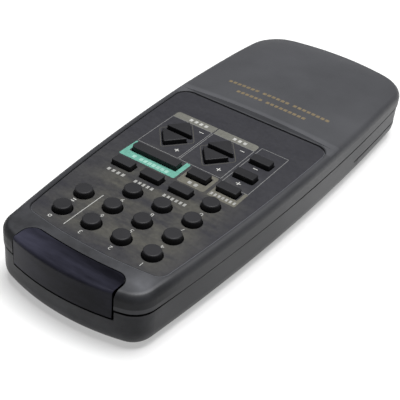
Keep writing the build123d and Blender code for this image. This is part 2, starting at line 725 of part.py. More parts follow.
def control_chip():
    """Moulded body of the chip, hung under the board."""
    top = BOARD_BOTTOM - CHIP_STANDOFF
    bottom = top - CHIP_HEIGHT
    end = CHIP_LENGTH / 2
    body = block(-end, end, CHIP_Y - CHIP_WIDTH / 2, CHIP_Y + CHIP_WIDTH / 2, bottom, top)
    body = chamfer(body.faces().sort_by(Axis.Z)[0].edges(), CHIP_EDGE)
    notch = rod(CHIP_NOTCH, -end, CHIP_Y, bottom - 1, bottom + CHIP_NOTCH / 3)
    return body - notch


def chip_legs():
    """Two rows of bent legs between chip and board."""
    legs = []
    middle = BOARD_BOTTOM - CHIP_STANDOFF - CHIP_HEIGHT / 2
    for way in (-1, 1):
        inner = CHIP_Y + way * CHIP_WIDTH / 2
        outer = inner + way * LEG_SPREAD
        for i in range(LEG_COUNT):
            x = (i - (LEG_COUNT - 1) / 2) * LEG_PITCH
            x0 = x - LEG_WIDTH / 2
            x1 = x + LEG_WIDTH / 2
            flat = block(x0, x1, inner, outer, middle, middle + LEG_THICKNESS)
            upright = block(x0, x1, outer, outer - way * LEG_THICKNESS, middle, BOARD_BOTTOM)
            legs.append(flat + upright)
    return legs


def resonator():
    """Small ceramic block that sets the clock."""
    x, y = RESONATOR_PLACE
    length, depth, height = RESONATOR_SIZE
    body = Pos(x, y, BOARD_BOTTOM - height / 2) * Box(length, depth, height)
    return fillet(body.edges().filter_by(Axis.Z), RESONATOR_CORNER)


def capacitor():
    """Can capacitor, lying against the board."""
    x, y = CAPACITOR_PLACE
    radius = CAPACITOR_DIAMETER / 2
    can = Cylinder(radius, CAPACITOR_LENGTH)
    waist = Cylinder(radius + 1, CRIMP_WIDTH) - Cylinder(radius - CRIMP_DEPTH, 2 * CRIMP_WIDTH)
    can = can - Pos(0, 0, CRIMP_PLACE - CAPACITOR_LENGTH / 2) * waist
    return Pos(x, y, BOARD_BOTTOM - radius) * Rot(0, 90, 0) * can


def transistor():
    """Driver transistor with one flat side."""
    x, y = TRANSISTOR_PLACE
    radius = TRANSISTOR_DIAMETER / 2
    body = rod(TRANSISTOR_DIAMETER, x, y, BOARD_BOTTOM - TRANSISTOR_HEIGHT, BOARD_BOTTOM)
    flat = y - radius + TRANSISTOR_FLAT
    return body - block(x - radius - 1, x + radius + 1, y - radius - 1, flat, 0, BOARD_TOP)


def resistors():
    """A row of resistors, each a body on one lead, bent up to the board at both ends."""
    group = []
    x, y0 = RESISTOR_PLACE
    z = BOARD_BOTTOM - RESISTOR_DIAMETER / 2 - RESISTOR_STANDOFF
    left = x - RESISTOR_SPAN / 2
    right = x + RESISTOR_SPAN / 2
    for i in range(RESISTOR_COUNT):
        y = y0 - i * RESISTOR_PITCH
        body = Pos(x, y, z) * Rot(0, 90, 0) * Cylinder(RESISTOR_DIAMETER / 2, RESISTOR_LENGTH)
        route = FilletPolyline(
            (left, y, BOARD_BOTTOM), (left, y, z), (right, y, z), (right, y, BOARD_BOTTOM),
            radius=RESISTOR_BEND,
        )
        section = Plane(origin=route @ 0, z_dir=route % 0) * Circle(RESISTOR_LEAD / 2)
        group.append(body + sweep(section, path=route))
    return group


def nose_y_at(x):
    """The Y of the nose's front face at one X."""
    return NOSE_Y - NOSE_RADIUS + math.sqrt(NOSE_RADIUS ** 2 - x ** 2)


def infrared_led(x):
    """One light source: lens, flange and two leads that rest on the board."""
    tip = nose_y_at(x) - WINDOW_THICKNESS - LED_CLEARANCE
    base = tip - LED_LENGTH
    radius = LED_DIAMETER / 2
    straight = LED_LENGTH - radius
    half_dome = radius * math.sin(math.pi / 4)
    outline = Polyline(
        (0, LED_LENGTH), (0, 0), (LED_FLANGE / 2, 0), (LED_FLANGE / 2, LED_FLANGE_HEIGHT),
        (radius, LED_FLANGE_HEIGHT), (radius, straight),
    )
    dome = ThreePointArc((radius, straight), (half_dome, straight + half_dome), (0, LED_LENGTH))
    lens = Pos(x, base, BOARD_TOP) * revolve(make_face([outline, dome]), Axis.Y)
    leads = []
    for way in (-1, 1):
        inside = x + way * (LED_LEAD_SPACING - LED_LEAD) / 2
        leads.append(block(
            inside, inside + way * LED_LEAD, base - LED_LEAD_LENGTH, base + LED_LEAD,
            BOARD_TOP, BOARD_TOP + LED_LEAD,
        ))
    return lens.fuse(*leads)


# Cells and their contacts

def cell(way, y):
    """An AA cell across the case, its button towards +X or -X."""
    radius = CELL_DIAMETER / 2
    shoulder = CELL_LENGTH - CELL_BUTTON_HEIGHT
    profile = make_face(Polyline(
        (0, 0), (radius - CELL_EDGE, 0), (radius, CELL_EDGE),
        (radius, shoulder - CELL_EDGE), (radius - CELL_EDGE, shoulder),
        (CELL_BUTTON / 2, shoulder), (CELL_BUTTON / 2, CELL_LENGTH), (0, CELL_LENGTH), close=True,
    ))
    body = revolve(profile, Axis.Y)
    start = -way * (CELL_LENGTH / 2 - SPRING_LENGTH / 2)
    return Pos(start, y, CELL_Z) * Rot(0, 0, -90 * way) * body


def spring_point(turn):
    """A point on the wire's centre line, so many turns from its wide end."""
    share = turn / SPRING_TURNS
    radius = (SPRING_DIAMETER + (SPRING_TIP_DIAMETER - SPRING_DIAMETER) * share) / 2
    angle = 2 * math.pi * turn
    height = (SPRING_LENGTH - SPRING_WIRE) * share
    return Vector(radius * math.cos(angle), radius * math.sin(angle), height)


def spring(way, y):
    """A conical spring that presses on the flat end of a cell, as a chain of quarter turns."""
    quarters = round(4 * SPRING_TURNS)
    here = spring_point(0)
    heading = (spring_point(0.001) - here).normalized()
    arcs = []
    for i in range(1, quarters + 1):
        arc = TangentArc(here, spring_point(i / 4), tangent=heading)
        arcs.append(arc)
        here = arc @ 1
        heading = arc % 1
    line = Wire(arcs)
    wire = sweep(Plane(origin=line @ 0, z_dir=line % 0) * Circle(SPRING_WIRE / 2), path=line)
    base = way * (BAY_HALF_LENGTH - TERMINAL_THICKNESS - SPRING_WIRE / 2)
    return Pos(base, y, CELL_Z) * Rot(0, -90 * way, 0) * wire


def terminal_plate(way, y0, y1, high=TERMINAL_HIGH):
    """A flat contact against an end wall of the bay."""
    outer = way * BAY_HALF_LENGTH
    return block(outer, outer - way * TERMINAL_THICKNESS, y0, y1, TERMINAL_LOW, high)


def contact_link():
    """The contact that joins the two cells in series."""
    half = TERMINAL_WIDTH / 2
    return terminal_plate(-1, REAR_CELL_Y - half, FRONT_CELL_Y + half)


def terminal(y, tail_z, end_y):
    """One outer contact, with a tail that runs forward to the board."""
    half = TERMINAL_WIDTH / 2
    tail_top = tail_z + TAIL_WIDTH
    x1 = BAY_HALF_LENGTH
    x0 = x1 - TERMINAL_THICKNESS
    plate = terminal_plate(1, y - half, y + half, tail_top)
    tail = block(x0, x1, y - half, end_y, tail_z, tail_top)
    return plate + tail


KEYS = grid_keys()

NODES = {
    "upper_shell": [upper_shell(KEYS)],
    "lower_shell": [lower_shell()],
    "battery_door": [battery_door()],
    "face_panel": [face_panel(KEYS)],
    "ir_window": [window()],
    "keypad_mat": [keypad_mat(KEYS)],
    "contact_pads": contact_pads(KEYS),
    "circuit_board": [circuit_board()],
    "control_chip": [control_chip()],
    "chip_legs": chip_legs(),
    "resonator": [resonator()],
    "capacitor": [capacitor()],
    "transistor": [transistor()],
    "resistors": resistors(),
    "infrared_led_left": [infrared_led(-LED_X)],
    "infrared_led_right": [infrared_led(LED_X)],
    "cell_front": [cell(1, FRONT_CELL_Y)],
    "cell_rear": [cell(-1, REAR_CELL_Y)],
    "spring_front": [spring(-1, FRONT_CELL_Y)],
    "spring_rear": [spring(1, REAR_CELL_Y)],
    "contact_link": [contact_link()],
    "terminal_positive": [terminal(FRONT_CELL_Y, FRONT_TAIL_Z, BOARD_REAR_Y)],
    "terminal_negative": [terminal(REAR_CELL_Y, REAR_TAIL_Z, BOARD_REAR_Y + 2 * TAIL_WIDTH)],
    "case_screws": case_screws(),
}
for name, kind, x, y in KEYS:
    NODES[name] = [key(kind, x, y)]

for node, solids in NODES.items():
    shape = solids[0] if len(solids) == 1 else Compound(children=solids)
    export_step(shape, "parts/%s.step" % node)
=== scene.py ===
import math

import bpy
from mathutils import Matrix, Vector


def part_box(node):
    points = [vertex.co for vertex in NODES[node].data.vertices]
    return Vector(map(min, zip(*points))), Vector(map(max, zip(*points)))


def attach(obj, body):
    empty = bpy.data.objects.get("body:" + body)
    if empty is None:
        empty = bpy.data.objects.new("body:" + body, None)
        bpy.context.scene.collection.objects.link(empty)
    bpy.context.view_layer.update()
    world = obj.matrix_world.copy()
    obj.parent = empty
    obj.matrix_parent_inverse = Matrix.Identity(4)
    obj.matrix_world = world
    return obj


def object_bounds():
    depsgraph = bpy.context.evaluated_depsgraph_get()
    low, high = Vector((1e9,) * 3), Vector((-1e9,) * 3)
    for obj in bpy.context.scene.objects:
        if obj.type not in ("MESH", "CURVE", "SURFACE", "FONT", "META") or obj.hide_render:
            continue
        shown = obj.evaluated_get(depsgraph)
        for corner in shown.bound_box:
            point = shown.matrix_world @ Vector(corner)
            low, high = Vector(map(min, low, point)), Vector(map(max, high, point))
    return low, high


bl_info = {
    "name": "Remote Control Finish",
    "version": (1, 0, 0),
    "blender": (4, 5, 0),
    "location": "View3D > Sidebar > Remote",
    "description": "Finishes, printing and studio for a hand-held remote control",
    "category": "Object",
}

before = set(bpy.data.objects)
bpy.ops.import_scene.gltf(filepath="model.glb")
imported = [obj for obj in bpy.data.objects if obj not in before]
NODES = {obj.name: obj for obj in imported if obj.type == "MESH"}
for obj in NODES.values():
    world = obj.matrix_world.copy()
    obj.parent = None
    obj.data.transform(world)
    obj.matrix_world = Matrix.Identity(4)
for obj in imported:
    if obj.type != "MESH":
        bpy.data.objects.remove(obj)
CAD_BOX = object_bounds()
KEY_NODES = [name for name in NODES if name.startswith("key_")]

MM = 0.001
# Points closer than this are the same point
NEAR = 0.001 * MM
# Height of the joint between the two shells, in millimetres
PARTING = 13.15


# Sizes and colours that a user would change

class RemoteColours(bpy.types.PropertyGroup):
    shell: bpy.props.FloatVectorProperty(
        name="Shell", description="Moulded plastic of both shells and the door",
        default=(0.0450, 0.0460, 0.0510), subtype="COLOR", min=0.0, max=1.0)
    panel: bpy.props.FloatVectorProperty(
        name="Panel", description="Ground colour of the key panel",
        default=(0.025, 0.025, 0.030), subtype="COLOR", min=0.0, max=1.0)
    panel_wear: bpy.props.FloatVectorProperty(
        name="Panel wear", description="Olive brown patches of the key panel",
        default=(0.057, 0.0553, 0.048), subtype="COLOR", min=0.0, max=1.0)
    keys: bpy.props.FloatVectorProperty(
        name="Keys", description="Plastic of the keys",
        default=(0.018, 0.018, 0.020), subtype="COLOR", min=0.0, max=1.0)
    window: bpy.props.FloatVectorProperty(
        name="Window", description="Dark plastic that passes infrared light",
        default=(0.0080, 0.0080, 0.0118), subtype="COLOR", min=0.0, max=1.0)
    white_ink: bpy.props.FloatVectorProperty(
        name="White ink", description="Digits, signs, marks and small blocks",
        default=(0.48, 0.48, 0.46), subtype="COLOR", min=0.0, max=1.0)
    green_ink: bpy.props.FloatVectorProperty(
        name="Green ink", description="Frame of the wide key",
        default=(0.105, 0.310, 0.245), subtype="COLOR", min=0.0, max=1.0)
    green_mark: bpy.props.FloatVectorProperty(
        name="Marks on green", description="Small blocks on the green frame",
        default=(0.250, 0.460, 0.390), subtype="COLOR", min=0.0, max=1.0)
    grey_ink: bpy.props.FloatVectorProperty(
        name="Grey ink", description="Bands behind the arrow keys",
        default=(0.125, 0.124, 0.108), subtype="COLOR", min=0.0, max=1.0)
    tan_ink: bpy.props.FloatVectorProperty(
        name="Tan ink", description="Frames of the fifth row and of the arrow keys",
        default=(0.105, 0.100, 0.080), subtype="COLOR", min=0.0, max=1.0)
    line_ink: bpy.props.FloatVectorProperty(
        name="Line ink", description="Thin lines round the key groups",
        default=(0.165, 0.165, 0.165), subtype="COLOR", min=0.0, max=1.0)
    gold_ink: bpy.props.FloatVectorProperty(
        name="Gold ink", description="Rows of blocks on the raised back",
        default=(0.150, 0.116, 0.066), subtype="COLOR", min=0.0, max=1.0)


class RemotePrint(bpy.types.PropertyGroup):
    ink: bpy.props.FloatProperty(
        name="Ink thickness", description="How far print stands proud",
        default=0.02 * MM, unit="LENGTH", min=0.0)
    digit: bpy.props.FloatProperty(
        name="Digit height", description="Height of the digits by the round keys",
        default=1.65 * MM, unit="LENGTH", min=0.0)
    digit_offset: bpy.props.FloatProperty(
        name="Digit offset", description="From the middle of a key to the middle of its digit",
        default=4.95 * MM, unit="LENGTH")
    sign: bpy.props.FloatProperty(
        name="Sign size", description="Length of the strokes of plus and minus",
        default=1.7 * MM, unit="LENGTH", min=0.0)
    stroke: bpy.props.FloatProperty(
        name="Sign stroke", description="Width of the strokes of plus and minus",
        default=0.32 * MM, unit="LENGTH", min=0.0)
    line: bpy.props.FloatProperty(
        name="Line width", description="Thin printed lines round the key groups and arrow keys",
        default=0.22 * MM, unit="LENGTH", min=0.0)
    block: bpy.props.FloatProperty(
        name="Block height", description="Height of the small printed blocks",
        default=1.4 * MM, unit="LENGTH", min=0.0)


class RemoteStudio(bpy.types.PropertyGroup):
    table_size: bpy.props.FloatProperty(
        name="Table size", description="Side of the square table",
        default=6.0, unit="LENGTH", min=1.0)
    table_rim: bpy.props.FloatProperty(
        name="Table rim", description="Height of the white wall round the table",
        default=0.4, unit="LENGTH", min=0.0)
    camera: bpy.props.FloatVectorProperty(
        name="Camera", description="Place of the camera",
        default=(-132.93 * MM, 231.41 * MM, 194.79 * MM), subtype="TRANSLATION", unit="LENGTH")
    azimuth: bpy.props.FloatProperty(
        name="Azimuth", description="Direction of view round the object",
        default=math.radians(211.17), subtype="ANGLE")
    elevation: bpy.props.FloatProperty(
        name="Elevation", description="Angle of view above the table",
        default=math.radians(36.89), subtype="ANGLE")
    roll: bpy.props.FloatProperty(
        name="Roll", description="Turn of the camera about its line of sight",
        default=math.radians(5.71), subtype="ANGLE")
    lens: bpy.props.FloatProperty(
        name="Lens", description="Focal length in millimetres on a 36 mm sensor",
        default=86.705, min=1.0)
    fill: bpy.props.FloatProperty(
        name="Fill", description="Strength of the even white light all round",
        default=0.12, min=0.0)
    lamp: bpy.props.FloatVectorProperty(
        name="Lamp", description="Place of the large soft light over the table",
        default=(-0.06, -0.10, 1.0), subtype="TRANSLATION", unit="LENGTH")
    lamp_size: bpy.props.FloatProperty(
        name="Lamp size", description="Side of the large soft light",
        default=0.6, unit="LENGTH", min=0.01)
    lamp_power: bpy.props.FloatProperty(
        name="Lamp power", description="Power of the large soft light in watts",
        default=17.0, min=0.0)
    bounce: bpy.props.FloatProperty(
        name="Table bounce", description="Share of the light that the table throws back at the object",
        default=0.45, min=0.0, max=1.0)
    evenness: bpy.props.FloatProperty(
        name="Table evenness", description="How far shadows on the table are lifted",
        default=0.42, min=0.0, max=1.0)


# Helpers for places

def mm(*lengths):
    """Lengths in millimetres as metres."""
    return tuple(length * MM for length in lengths)


def corners(x_range, y_range):
    """The lowest and the highest corner of a rectangle in millimetres, as metres."""
    return mm(x_range[0], y_range[0]), mm(x_range[1], y_range[1])


def panel_top():
    """Height of the key panel's face."""
    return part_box("face_panel")[1][2]


def key_middle(name):
    """Where a key stands, seen from above."""
    low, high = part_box(name)
    return (low[0] + high[0]) / 2, (low[1] + high[1]) / 2


# Helpers for shapes

def deselect():
    """Nothing selected and no object in edit mode."""
    if bpy.context.object and bpy.context.object.mode != "OBJECT":
        bpy.ops.object.mode_set(mode="OBJECT")
    bpy.ops.object.select_all(action="DESELECT")


def take(piece):
    """One piece selected and active, and nothing else."""
    deselect()
    piece.select_set(True)
    bpy.context.view_layer.objects.active = piece


def settle(piece):
    """The piece's place goes into its mesh."""
    take(piece)
    bpy.ops.object.transform_apply(location=True, rotation=True, scale=True)


def start_plane(name, low, high, z):
    """A flat rectangle between two corners, in edit mode."""
    deselect()
    middle = ((low[0] + high[0]) / 2, (low[1] + high[1]) / 2, z)
    bpy.ops.mesh.primitive_plane_add(size=1.0, location=middle)
    piece = bpy.context.object
    piece.name = name
    piece.scale = (high[0] - low[0], high[1] - low[1], 1.0)
    settle(piece)
    bpy.ops.object.mode_set(mode="EDIT")
    return piece


def pick(piece, kind, test):
    """Selects the vertices, edges or faces whose middle passes a test, in edit mode."""
    bpy.ops.mesh.select_all(action="DESELECT")
    bpy.ops.mesh.select_mode(type=kind)
    bpy.ops.object.mode_set(mode="OBJECT")
    mesh = piece.data
    parts = {"VERT": mesh.vertices, "EDGE": mesh.edges, "FACE": mesh.polygons}[kind]
    chosen = 0
    for part in parts:
        if kind == "VERT":
            middle = part.co
        elif kind == "FACE":
            middle = part.center
        else:
            middle = (mesh.vertices[part.vertices[0]].co + mesh.vertices[part.vertices[1]].co) / 2
        part.select = bool(test(middle))
        chosen += part.select
    if not chosen:
        raise RuntimeError("nothing to shape on %s" % piece.name)
    bpy.ops.object.mode_set(mode="EDIT")


def everywhere(point):
    """A test that every point passes."""
    return True


def round_corners(piece, radius, steps, test=everywhere):
    """Rounds the corners of the flat shape in edit mode that pass a test."""
    pick(piece, "VERT", test)
    bpy.ops.mesh.bevel(offset=radius, segments=steps, affect="VERTICES")


def cut(place, across):
    """Cuts the flat shape in edit mode along a line through a place."""
    bpy.ops.mesh.select_all(action="SELECT")
    bpy.ops.mesh.bisect(plane_co=place, plane_no=across)


def pull(x, y, z=0.0):
    """Pulls what is picked in edit mode out by a distance."""
    bpy.ops.mesh.extrude_region_move(TRANSFORM_OT_translate={"value": (x, y, z)})


def hollow(width):
    """Leaves only a line round the flat shape in edit mode."""
    bpy.ops.mesh.select_all(action="SELECT")
    bpy.ops.mesh.inset(thickness=width, depth=0.0)
    bpy.ops.mesh.delete(type="FACE")


def thicken(depth):
    """Pulls the flat shape in edit mode up into ink, and leaves edit mode."""
    bpy.ops.mesh.select_all(action="SELECT")
    pull(0.0, 0.0, depth)
    bpy.ops.mesh.select_all(action="SELECT")
    bpy.ops.mesh.normals_make_consistent(inside=False)
    bpy.ops.object.mode_set(mode="OBJECT")


def flat_band(name, low, high, z, radius, test=everywhere):
    """A flat band with all corners or the chosen ones rounded, left in edit mode."""
    piece = start_plane(name, low, high, z)
    round_corners(piece, radius, steps=5, test=test)
    return piece


def cut_band(name, low, high, z, places):
    """A flat band with sharp corners, cut across at places along X, left in edit mode."""
    piece = start_plane(name, low, high, z)
    for x in places:
        cut((x, 0, z), (1, 0, 0))
    return piece


def band(name, low, high, z, depth, radius):
    """A printed band with rounded corners."""
    piece = flat_band(name, low, high, z, radius)
    thicken(depth)
    return piece


def outline(name, low, high, z, depth, width, radius):
    """A printed line round a rectangle with rounded corners."""
    piece = flat_band(name, low, high, z, radius)
    hollow(width)
    thicken(depth)
    return piece


def copy_to(piece, shift, name):
    """A copy of a finished piece with its own mesh, moved by a distance."""
    take(piece)
    bpy.ops.object.duplicate(linked=False)
    twin = bpy.context.object
    twin.name = name
    twin.location = shift
    settle(twin)
    return twin


def joined(name, pieces):
    """Several pieces made one."""
    take(pieces[0])
    for piece in pieces:
        piece.select_set(True)
    bpy.ops.object.join()
    whole = bpy.context.object
    whole.name = name
    settle(whole)
    return whole


def finish_print(piece, material):
    """Ink on the case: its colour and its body."""
    piece.data.materials.clear()
    piece.data.materials.append(material)
    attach(piece, "case")


def block_row(x0, x1, y, z, height, counts, gap, space):
    """Small flat blocks in a row along X, in groups. A gap and a space are shares of a block."""
    total = sum(counts)
    shares = total + gap * (total - len(counts)) + space * (len(counts) - 1)
    width = (x1 - x0) / shares
    half = (width / 2, height / 2)
    first = flat_band("block", (-half[0], -half[1]), half, 0.0, radius=0.15 * width)
    bpy.ops.object.mode_set(mode="OBJECT")
    blocks = []
    x = x0 + width / 2
    for count in counts:
        for i in range(count):
            blocks.append(copy_to(first, (x, y, z), "block"))
            x += width * (1 + (gap if i < count - 1 else space))
    bpy.data.objects.remove(first)
    return blocks


def block_rows(name, rows, z, height, gap, space):
    """Rows of flat blocks as one piece. A row is X from and to, Y, and the blocks in each group."""
    blocks = []
    for x0, x1, y, counts in rows:
        blocks += block_row(*mm(x0, x1, y), z, height, counts, gap, space)
    return joined(name, blocks)


def raise_ink(piece, depth):
    """Turns flat print into ink of a thickness."""
    take(piece)
    bpy.ops.object.mode_set(mode="EDIT")
    thicken(depth)


def lay_on(piece, node):
    """Drops flat print straight down on a curved CAD surface."""
    take(piece)
    drop = piece.modifiers.new("drop", "SHRINKWRAP")
    drop.target = NODES[node]
    drop.wrap_method = "PROJECT"
    drop.use_project_z = True
    drop.use_positive_direction = False
    drop.use_negative_direction = True
    bpy.ops.object.modifier_apply(modifier=drop.name)


def glyph(name, text, height, x, y, z, depth):
    """A digit, its middle at a place, as a mesh."""
    digit_share = 0.7  # of the font's size
    deselect()
    bpy.ops.object.text_add(location=(0, 0, 0))
    letter = bpy.context.object
    letter.data.body = text
    letter.data.align_x = "CENTER"
    letter.data.align_y = "CENTER"
    letter.data.size = height / digit_share
    letter.data.extrude = depth / 2
    bpy.ops.object.convert(target="MESH")
    piece = bpy.context.object
    piece.name = name
    piece.location = (x, y, z + depth / 2)
    settle(piece)
    return piece


def plus_sign(name, size, width, z, depth):
    """A plus at the origin: a small square whose four sides are pulled out."""
    half = width / 2
    reach = size / 2 - half
    piece = start_plane(name, (-half, -half), (half, half), z)
    for x, y in ((1, 0), (-1, 0), (0, 1), (0, -1)):
        side = Vector((x * half, y * half, z))
        pick(piece, "EDGE", lambda point: (point - side).length < NEAR)
        pull(x * reach, y * reach)
    thicken(depth)
    return piece


# Helpers for materials

def new_material(name):
    """An empty node material with a shader and Object coordinates."""
    material = bpy.data.materials.new(name)
    material.use_nodes = True
    tree = material.node_tree
    tree.nodes.clear()
    output = tree.nodes.new("ShaderNodeOutputMaterial")
    shader = tree.nodes.new("ShaderNodeBsdfPrincipled")
    tree.links.new(shader.outputs["BSDF"], output.inputs["Surface"])
    place = tree.nodes.new("ShaderNodeTexCoord")
    return material, tree, shader, place.outputs["Object"]


def noise(tree, place, scale, detail=2.0, rough=0.5):
    """A noise pattern, its scale counted per metre."""
    node = tree.nodes.new("ShaderNodeTexNoise")
    node.inputs["Scale"].default_value = scale
    node.inputs["Detail"].default_value = detail
    node.inputs["Roughness"].default_value = rough
    tree.links.new(place, node.inputs["Vector"])
    return node.outputs["Fac"]


def ramp(tree, value, low, high, dark, light):
    """A value spread between two colours."""
    node = tree.nodes.new("ShaderNodeValToRGB")
    node.color_ramp.elements[0].position = low
    node.color_ramp.elements[0].color = (*dark, 1)
    node.color_ramp.elements[1].position = high
    node.color_ramp.elements[1].color = (*light, 1)
    tree.links.new(value, node.inputs["Fac"])
    return node.outputs["Color"]


def spread(tree, value, low, high, start, end):
    """A value moved from one range to another."""
    node = tree.nodes.new("ShaderNodeMapRange")
    node.inputs["From Min"].default_value = low
    node.inputs["From Max"].default_value = high
    node.inputs["To Min"].default_value = start
    node.inputs["To Max"].default_value = end
    tree.links.new(value, node.inputs["Value"])
    return node.outputs["Result"]


def mix(tree, share, first, second):
    """Two colours mixed by a pattern."""
    node = tree.nodes.new("ShaderNodeMix")
    node.data_type = "RGBA"
    tree.links.new(share, node.inputs["Factor"])
    tree.links.new(first, node.inputs["A"])
    tree.links.new(second, node.inputs["B"])
    return node.outputs["Result"]


def bump(tree, shader, height, relief):
    """A fine relief on the shader."""
    node = tree.nodes.new("ShaderNodeBump")
    node.inputs["Strength"].default_value = 1.0
    node.inputs["Distance"].default_value = relief
    tree.links.new(height, node.inputs["Height"])
    tree.links.new(node.outputs["Normal"], shader.inputs["Normal"])


def mapped(tree, place, scale=(1, 1, 1), shift=(0, 0, 0), turn=0.0):
    """Coordinates that are scaled, turned about Z and moved."""
    node = tree.nodes.new("ShaderNodeMapping")
    node.inputs["Scale"].default_value = scale
    node.inputs["Location"].default_value = shift
    node.inputs["Rotation"].default_value = (0, 0, turn)
    tree.links.new(place, node.inputs["Vector"])
    return node.outputs["Vector"]


def scaled(colour, factor):
    """A colour made darker or lighter."""
    return tuple(min(channel * factor, 1.0) for channel in colour)


def along(tree, place, axis, low, high, start, end):
    """A value that runs from one number to another between two places on an axis."""
    split = tree.nodes.new("ShaderNodeSeparateXYZ")
    tree.links.new(place, split.inputs["Vector"])
    return spread(tree, split.outputs[axis], low, high, start, end)


def distance(tree, place, x, y):
    """How far a place is from a centre, seen from above."""
    length = tree.nodes.new("ShaderNodeVectorMath")
    length.operation = "LENGTH"
    tree.links.new(mapped(tree, place, (1, 1, 0), (-x, -y, 0)), length.inputs[0])
    return length.outputs["Value"]


def times(tree, first, second):
    """Two values multiplied."""
    node = tree.nodes.new("ShaderNodeMath")
    node.operation = "MULTIPLY"
    tree.links.new(first, node.inputs[0])
    tree.links.new(second, node.inputs[1])
    return node.outputs["Value"]


def shaded(tree, colour, value):
    """A colour multiplied by a value."""
    node = tree.nodes.new("ShaderNodeVectorMath")
    node.operation = "SCALE"
    tree.links.new(colour, node.inputs[0])
    tree.links.new(value, node.inputs["Scale"])
    return node.outputs["Vector"]


def within(tree, place, ranges):
    """One inside ranges of places on the axes and zero outside them, with soft ends."""
    mask = None
    for axis, low, high, soft in ranges:
        rise = along(tree, place, axis, low - soft, low, 0.0, 1.0)
        fall = along(tree, place, axis, high, high + soft, 1.0, 0.0)
        mask = rise if mask is None else times(tree, mask, rise)
        mask = times(tree, mask, fall)
    return mask


def light_and_shade_place(factor, *ranges):
    """Painted light and shade at a place: a factor for colour and gloss, above one for a painted
    highlight and below one for painted shade, and where it works: an axis, two places and a soft edge in
    mm.
    """
    return factor, [(axis, *mm(low, high, soft)) for axis, low, high, soft in ranges]


def moulded_plastic(name, colour, rough, grain, relief, variation=0.12, gloss=0.5, shades=()):
    """Plastic with a fine moulded grain, faint cloudiness and patches worn shinier by rubbing.

    Each shade is an axis, two places on it and the two factors that darken the colour there."""
    material, tree, shader, place = new_material(name)
    shader.inputs["Specular IOR Level"].default_value = gloss
    clouds = noise(tree, place, 45.0, 4.0, 0.6)
    dark = scaled(colour, 1 - variation)
    light = scaled(colour, 1 + variation)
    base = ramp(tree, clouds, 0.3, 0.7, dark, light)
    for shade in shades:
        base = shaded(tree, base, along(tree, place, *shade))
    tree.links.new(base, shader.inputs["Base Color"])
    rubbed_and_highlight = noise(tree, place, 22.0, 3.0, 0.55)
    roughness = spread(tree, rubbed_and_highlight, 0.3, 0.7, rough - 0.05, rough + 0.06)
    tree.links.new(roughness, shader.inputs["Roughness"])
    bump(tree, shader, noise(tree, place, grain, 2.0, 0.6), relief)
    return material


def case_plastic(name, colour, shades, light_and_shade_places):
    """Plastic of the case, more mottled at the nose and duller toward it, where the hand wears it, with
    painted light and shade at given places.
    """
    material = moulded_plastic(
        name, colour, rough=0.46, grain=3600.0, relief=0.012 * MM, gloss=0.34, shades=shades)
    tree = material.node_tree
    shader = next(node for node in tree.nodes if node.type == "BSDF_PRINCIPLED")
    place = next(node for node in tree.nodes if node.type == "TEX_COORD").outputs["Object"]
    plain = shader.inputs["Base Color"].links[0].from_socket
    smudges = spread(tree, noise(tree, place, 70.0, 6.0, 0.62), 0.35, 0.65, 0.75, 1.9)
    nose = along(tree, place, "Y", *mm(60, 74), 0.0, 1.0)
    base = mix(tree, nose, plain, shaded(tree, plain, smudges))
    gloss = along(tree, place, "Y", *mm(-10, 70), 0.42, 0.22)
    # Painted highlights and painted shade, on colour and gloss
    for factor, ranges in light_and_shade_places:
        share = spread(tree, within(tree, place, ranges), 0.0, 1.0, 1.0, factor)
        base = shaded(tree, base, share)
        gloss = times(tree, gloss, share)
    tree.links.new(base, shader.inputs["Base Color"])
    tree.links.new(gloss, shader.inputs["Specular IOR Level"])
    return material


def metal(name, colour, rough):
    """Plated metal with faint brushing."""
    material, tree, shader, place = new_material(name)
    streaks = noise(tree, place, 1500.0, 4.0, 0.7)
    base = ramp(tree, streaks, 0.3, 0.7, scaled(colour, 0.85), colour)
    roughness = spread(tree, streaks, 0.3, 0.7, rough, rough + 0.15)
    tree.links.new(base, shader.inputs["Base Color"])
    tree.links.new(roughness, shader.inputs["Roughness"])
    shader.inputs["Metallic"].default_value = 1.0
    bump(tree, shader, streaks, 0.003 * MM)
    return material


def printed(name, colour):
    """Screen-printed ink with faint unevenness."""
    material, tree, shader, place = new_material(name)
    patches = noise(tree, place, 900.0, 3.0, 0.65)
    base = ramp(tree, patches, 0.25, 0.6, scaled(colour, 0.72), colour)
    tree.links.new(base, shader.inputs["Base Color"])
    shader.inputs["Roughness"].default_value = 0.5
    bump(tree, shader, noise(tree, place, 6000.0), 0.004 * MM)
    return material


def dress(names, material):
    """Gives CAD nodes one material."""
    for name in names:
        mesh = NODES[name].data
        mesh.materials.clear()
        mesh.materials.append(material)


# Finishes of the CAD pieces

